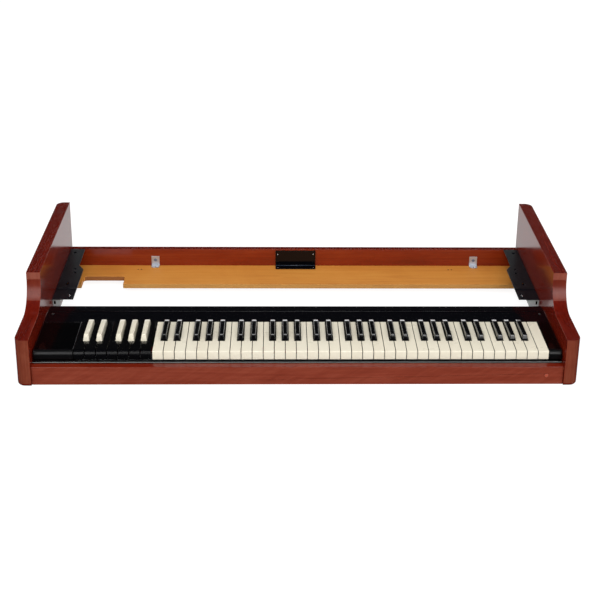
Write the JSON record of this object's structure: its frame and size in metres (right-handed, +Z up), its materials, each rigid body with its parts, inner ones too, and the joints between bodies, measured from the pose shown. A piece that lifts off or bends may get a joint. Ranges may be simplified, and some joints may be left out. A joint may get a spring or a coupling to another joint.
{
  "type": "electronic organ lower keyboard",
  "caption": "Lower keyboard unit of an electronic organ: wooden end panels, a manual with reverse-colour preset keys at its left, and brackets for an upper unit.",
  "frame": {"origin": "middle of the footprint, on the floor plane under the end panels", "axes": "+X to the player's right along the keys, +Y to the rear, +Z up; the player sits at -Y"},
  "size_m": [1.1906, 0.618, 0.1855],
  "materials": {
    "case_veneer": "red cherry veneer under satin lacquer",
    "bare_plywood": "unfinished tan board",
    "keybed_board": "unfinished particle board",
    "lens": "dull red, smooth",
    "plated_steel": "zinc plated sheet",
    "felt": "red felt",
    "circuit_board": "green laminate",
    "black_block": "satin black paint",
    "black_steel": "black painted sheet steel",
    "bright_metal": "bright plated, lightly brushed",
    "cream_key": "aged ivory colour, smooth",
    "black_key": "smooth black"
  },
  "bodies": {
    "case": {"left_end_panel": "case_veneer", "right_end_panel": "case_veneer", "front_rail": "case_veneer", "rail_lens": "lens", "keybed_board": "keybed_board", "key_trim_strip": "plated_steel", "key_chassis": "plated_steel", "downstop_felt": "felt", "contact_board": "circuit_board", "left_key_block": "black_block", "right_key_block": "black_block", "rear_fascia": "black_steel", "left_bracket": "black_steel", "right_bracket": "black_steel", "left_bracket_leg": "plated_steel", "right_bracket_leg": "plated_steel", "rear_panel": "case_veneer", "rear_shelf": "bare_plywood", "centre_angle_plate": "black_steel", "left_clip": "bright_metal", "right_clip": "bright_metal"},
    "lower_naturals": {"lower_naturals": "cream_key"},
    "lower_sharps": {"lower_sharps": "black_key"},
    "preset_key_c": {"preset_key_c": "black_key"},
    "preset_key_c_sharp": {"preset_key_c_sharp": "cream_key"},
    "preset_key_d": {"preset_key_d": "black_key"},
    "preset_key_d_sharp": {"preset_key_d_sharp": "cream_key"},
    "preset_key_e": {"preset_key_e": "black_key"},
    "preset_key_f": {"preset_key_f": "black_key"},
    "preset_key_f_sharp": {"preset_key_f_sharp": "cream_key"},
    "preset_key_g": {"preset_key_g": "black_key"},
    "preset_key_g_sharp": {"preset_key_g_sharp": "cream_key"},
    "preset_key_a": {"preset_key_a": "black_key"},
    "preset_key_a_sharp": {"preset_key_a_sharp": "cream_key"},
    "preset_key_b": {"preset_key_b": "black_key"},
    "key_c4": {"key_c4": "cream_key"},
    "key_c_sharp4": {"key_c_sharp4": "black_key"},
    "key_d4": {"key_d4": "cream_key"},
    "key_d_sharp4": {"key_d_sharp4": "black_key"},
    "key_e4": {"key_e4": "cream_key"},
    "key_f4": {"key_f4": "cream_key"},
    "key_f_sharp4": {"key_f_sharp4": "black_key"},
    "key_g4": {"key_g4": "cream_key"},
    "key_g_sharp4": {"key_g_sharp4": "black_key"},
    "key_a4": {"key_a4": "cream_key"},
    "key_a_sharp4": {"key_a_sharp4": "black_key"},
    "key_b4": {"key_b4": "cream_key"},
    "key_c5": {"key_c5": "cream_key"},
    "key_c_sharp5": {"key_c_sharp5": "black_key"},
    "key_d5": {"key_d5": "cream_key"},
    "key_d_sharp5": {"key_d_sharp5": "black_key"},
    "key_e5": {"key_e5": "cream_key"},
    "key_f5": {"key_f5": "cream_key"},
    "key_f_sharp5": {"key_f_sharp5": "black_key"},
    "key_g5": {"key_g5": "cream_key"},
    "key_g_sharp5": {"key_g_sharp5": "black_key"},
    "key_a5": {"key_a5": "cream_key"},
    "key_a_sharp5": {"key_a_sharp5": "black_key"},
    "key_b5": {"key_b5": "cream_key"},
    "key_c6": {"key_c6": "cream_key"}
  },
  "joints": [
    {"name": "lower_naturals_press", "type": "hinge", "parent": "case", "child": "lower_naturals", "pos_m": [-0.06485, -0.0609, 0.0492], "axis": [1, 0, 0], "range_deg": [0, 2.4], "stiffness_Nm_per_rad": 12.6, "springref_deg": -22.92},
    {"name": "lower_sharps_press", "type": "hinge", "parent": "case", "child": "lower_sharps", "pos_m": [-0.06485, -0.0609, 0.0492], "axis": [1, 0, 0], "range_deg": [0, 2.4], "stiffness_Nm_per_rad": 9, "springref_deg": -22.92},
    {"name": "preset_key_c_press", "type": "hinge", "parent": "case", "child": "preset_key_c", "pos_m": [-0.46635, -0.0609, 0.0492], "axis": [1, 0, 0], "range_deg": [0, 2.4], "stiffness_Nm_per_rad": 0.6, "springref_deg": -22.92},
    {"name": "preset_key_c_sharp_press", "type": "hinge", "parent": "case", "child": "preset_key_c_sharp", "pos_m": [-0.4568, -0.0609, 0.0492], "axis": [1, 0, 0], "range_deg": [0, 2.4], "stiffness_Nm_per_rad": 0.6, "springref_deg": -22.92},
    {"name": "preset_key_d_press", "type": "hinge", "parent": "case", "child": "preset_key_d", "pos_m": [-0.44285, -0.0609, 0.0492], "axis": [1, 0, 0], "range_deg": [0, 2.4], "stiffness_Nm_per_rad": 0.6, "springref_deg": -22.92},
    {"name": "preset_key_d_sharp_press", "type": "hinge", "parent": "case", "child": "preset_key_d_sharp", "pos_m": [-0.4289, -0.0609, 0.0492], "axis": [1, 0, 0], "range_deg": [0, 2.4], "stiffness_Nm_per_rad": 0.6, "springref_deg": -22.92},
    {"name": "preset_key_e_press", "type": "hinge", "parent": "case", "child": "preset_key_e", "pos_m": [-0.41935, -0.0609, 0.0492], "axis": [1, 0, 0], "range_deg": [0, 2.4], "stiffness_Nm_per_rad": 0.6, "springref_deg": -22.92},
    {"name": "preset_key_f_press", "type": "hinge", "parent": "case", "child": "preset_key_f", "pos_m": [-0.39585, -0.0609, 0.0492], "axis": [1, 0, 0], "range_deg": [0, 2.4], "stiffness_Nm_per_rad": 0.6, "springref_deg": -22.92},
    {"name": "preset_key_f_sharp_press", "type": "hinge", "parent": "case", "child": "preset_key_f_sharp", "pos_m": [-0.3877, -0.0609, 0.0492], "axis": [1, 0, 0], "range_deg": [0, 2.4], "stiffness_Nm_per_rad": 0.6, "springref_deg": -22.92},
    {"name": "preset_key_g_press", "type": "hinge", "parent": "case", "child": "preset_key_g", "pos_m": [-0.37235, -0.0609, 0.0492], "axis": [1, 0, 0], "range_deg": [0, 2.4], "stiffness_Nm_per_rad": 0.6, "springref_deg": -22.92},
    {"name": "preset_key_g_sharp_press", "type": "hinge", "parent": "case", "child": "preset_key_g_sharp", "pos_m": [-0.3606, -0.0609, 0.0492], "axis": [1, 0, 0], "range_deg": [0, 2.4], "stiffness_Nm_per_rad": 0.6, "springref_deg": -22.92},
    {"name": "preset_key_a_press", "type": "hinge", "parent": "case", "child": "preset_key_a", "pos_m": [-0.34885, -0.0609, 0.0492], "axis": [1, 0, 0], "range_deg": [0, 2.4], "stiffness_Nm_per_rad": 0.6, "springref_deg": -22.92},
    {"name": "preset_key_a_sharp_press", "type": "hinge", "parent": "case", "child": "preset_key_a_sharp", "pos_m": [-0.3335, -0.0609, 0.0492], "axis": [1, 0, 0], "range_deg": [0, 2.4], "stiffness_Nm_per_rad": 0.6, "springref_deg": -22.92},
    {"name": "preset_key_b_press", "type": "hinge", "parent": "case", "child": "preset_key_b", "pos_m": [-0.32535, -0.0609, 0.0492], "axis": [1, 0, 0], "range_deg": [0, 2.4], "stiffness_Nm_per_rad": 0.6, "springref_deg": -22.92},
    {"name": "key_c4_press", "type": "hinge", "parent": "case", "child": "key_c4", "pos_m": [0.19365, -0.0609, 0.0492], "axis": [1, 0, 0], "range_deg": [0, 2.4], "stiffness_Nm_per_rad": 0.6, "springref_deg": -22.92},
    {"name": "key_c_sharp4_press", "type": "hinge", "parent": "case", "child": "key_c_sharp4", "pos_m": [0.2032, -0.0609, 0.0492], "axis": [1, 0, 0], "range_deg": [0, 2.4], "stiffness_Nm_per_rad": 0.6, "springref_deg": -22.92},
    {"name": "key_d4_press", "type": "hinge", "parent": "case", "child": "key_d4", "pos_m": [0.21715, -0.0609, 0.0492], "axis": [1, 0, 0], "range_deg": [0, 2.4], "stiffness_Nm_per_rad": 0.6, "springref_deg": -22.92},
    {"name": "key_d_sharp4_press", "type": "hinge", "parent": "case", "child": "key_d_sharp4", "pos_m": [0.2311, -0.0609, 0.0492], "axis": [1, 0, 0], "range_deg": [0, 2.4], "stiffness_Nm_per_rad": 0.6, "springref_deg": -22.92},
    {"name": "key_e4_press", "type": "hinge", "parent": "case", "child": "key_e4", "pos_m": [0.24065, -0.0609, 0.0492], "axis": [1, 0, 0], "range_deg": [0, 2.4], "stiffness_Nm_per_rad": 0.6, "springref_deg": -22.92},
    {"name": "key_f4_press", "type": "hinge", "parent": "case", "child": "key_f4", "pos_m": [0.26415, -0.0609, 0.0492], "axis": [1, 0, 0], "range_deg": [0, 2.4], "stiffness_Nm_per_rad": 0.6, "springref_deg": -22.92},
    {"name": "key_f_sharp4_press", "type": "hinge", "parent": "case", "child": "key_f_sharp4", "pos_m": [0.2723, -0.0609, 0.0492], "axis": [1, 0, 0], "range_deg": [0, 2.4], "stiffness_Nm_per_rad": 0.6, "springref_deg": -22.92},
    {"name": "key_g4_press", "type": "hinge", "parent": "case", "child": "key_g4", "pos_m": [0.28765, -0.0609, 0.0492], "axis": [1, 0, 0], "range_deg": [0, 2.4], "stiffness_Nm_per_rad": 0.6, "springref_deg": -22.92},
    {"name": "key_g_sharp4_press", "type": "hinge", "parent": "case", "child": "key_g_sharp4", "pos_m": [0.2994, -0.0609, 0.0492], "axis": [1, 0, 0], "range_deg": [0, 2.4], "stiffness_Nm_per_rad": 0.6, "springref_deg": -22.92},
    {"name": "key_a4_press", "type": "hinge", "parent": "case", "child": "key_a4", "pos_m": [0.31115, -0.0609, 0.0492], "axis": [1, 0, 0], "range_deg": [0, 2.4], "stiffness_Nm_per_rad": 0.6, "springref_deg": -22.92},
    {"name": "key_a_sharp4_press", "type": "hinge", "parent": "case", "child": "key_a_sharp4", "pos_m": [0.3265, -0.0609, 0.0492], "axis": [1, 0, 0], "range_deg": [0, 2.4], "stiffness_Nm_per_rad": 0.6, "springref_deg": -22.92},
    {"name": "key_b4_press", "type": "hinge", "parent": "case", "child": "key_b4", "pos_m": [0.33465, -0.0609, 0.0492], "axis": [1, 0, 0], "range_deg": [0, 2.4], "stiffness_Nm_per_rad": 0.6, "springref_deg": -22.92},
    {"name": "key_c5_press", "type": "hinge", "parent": "case", "child": "key_c5", "pos_m": [0.35815, -0.0609, 0.0492], "axis": [1, 0, 0], "range_deg": [0, 2.4], "stiffness_Nm_per_rad": 0.6, "springref_deg": -22.92},
    {"name": "key_c_sharp5_press", "type": "hinge", "parent": "case", "child": "key_c_sharp5", "pos_m": [0.3677, -0.0609, 0.0492], "axis": [1, 0, 0], "range_deg": [0, 2.4], "stiffness_Nm_per_rad": 0.6, "springref_deg": -22.92},
    {"name": "key_d5_press", "type": "hinge", "parent": "case", "child": "key_d5", "pos_m": [0.38165, -0.0609, 0.0492], "axis": [1, 0, 0], "range_deg": [0, 2.4], "stiffness_Nm_per_rad": 0.6, "springref_deg": -22.92},
    {"name": "key_d_sharp5_press", "type": "hinge", "parent": "case", "child": "key_d_sharp5", "pos_m": [0.3956, -0.0609, 0.0492], "axis": [1, 0, 0], "range_deg": [0, 2.4], "stiffness_Nm_per_rad": 0.6, "springref_deg": -22.92},
    {"name": "key_e5_press", "type": "hinge", "parent": "case", "child": "key_e5", "pos_m": [0.40515, -0.0609, 0.0492], "axis": [1, 0, 0], "range_deg": [0, 2.4], "stiffness_Nm_per_rad": 0.6, "springref_deg": -22.92},
    {"name": "key_f5_press", "type": "hinge", "parent": "case", "child": "key_f5", "pos_m": [0.42865, -0.0609, 0.0492], "axis": [1, 0, 0], "range_deg": [0, 2.4], "stiffness_Nm_per_rad": 0.6, "springref_deg": -22.92},
    {"name": "key_f_sharp5_press", "type": "hinge", "parent": "case", "child": "key_f_sharp5", "pos_m": [0.4368, -0.0609, 0.0492], "axis": [1, 0, 0], "range_deg": [0, 2.4], "stiffness_Nm_per_rad": 0.6, "springref_deg": -22.92},
    {"name": "key_g5_press", "type": "hinge", "parent": "case", "child": "key_g5", "pos_m": [0.45215, -0.0609, 0.0492], "axis": [1, 0, 0], "range_deg": [0, 2.4], "stiffness_Nm_per_rad": 0.6, "springref_deg": -22.92},
    {"name": "key_g_sharp5_press", "type": "hinge", "parent": "case", "child": "key_g_sharp5", "pos_m": [0.4639, -0.0609, 0.0492], "axis": [1, 0, 0], "range_deg": [0, 2.4], "stiffness_Nm_per_rad": 0.6, "springref_deg": -22.92},
    {"name": "key_a5_press", "type": "hinge", "parent": "case", "child": "key_a5", "pos_m": [0.47565, -0.0609, 0.0492], "axis": [1, 0, 0], "range_deg": [0, 2.4], "stiffness_Nm_per_rad": 0.6, "springref_deg": -22.92},
    {"name": "key_a_sharp5_press", "type": "hinge", "parent": "case", "child": "key_a_sharp5", "pos_m": [0.491, -0.0609, 0.0492], "axis": [1, 0, 0], "range_deg": [0, 2.4], "stiffness_Nm_per_rad": 0.6, "springref_deg": -22.92},
    {"name": "key_b5_press", "type": "hinge", "parent": "case", "child": "key_b5", "pos_m": [0.49915, -0.0609, 0.0492], "axis": [1, 0, 0], "range_deg": [0, 2.4], "stiffness_Nm_per_rad": 0.6, "springref_deg": -22.92},
    {"name": "key_c6_press", "type": "hinge", "parent": "case", "child": "key_c6", "pos_m": [0.52265, -0.0609, 0.0492], "axis": [1, 0, 0], "range_deg": [0, 2.4], "stiffness_Nm_per_rad": 0.6, "springref_deg": -22.92}
  ]
}
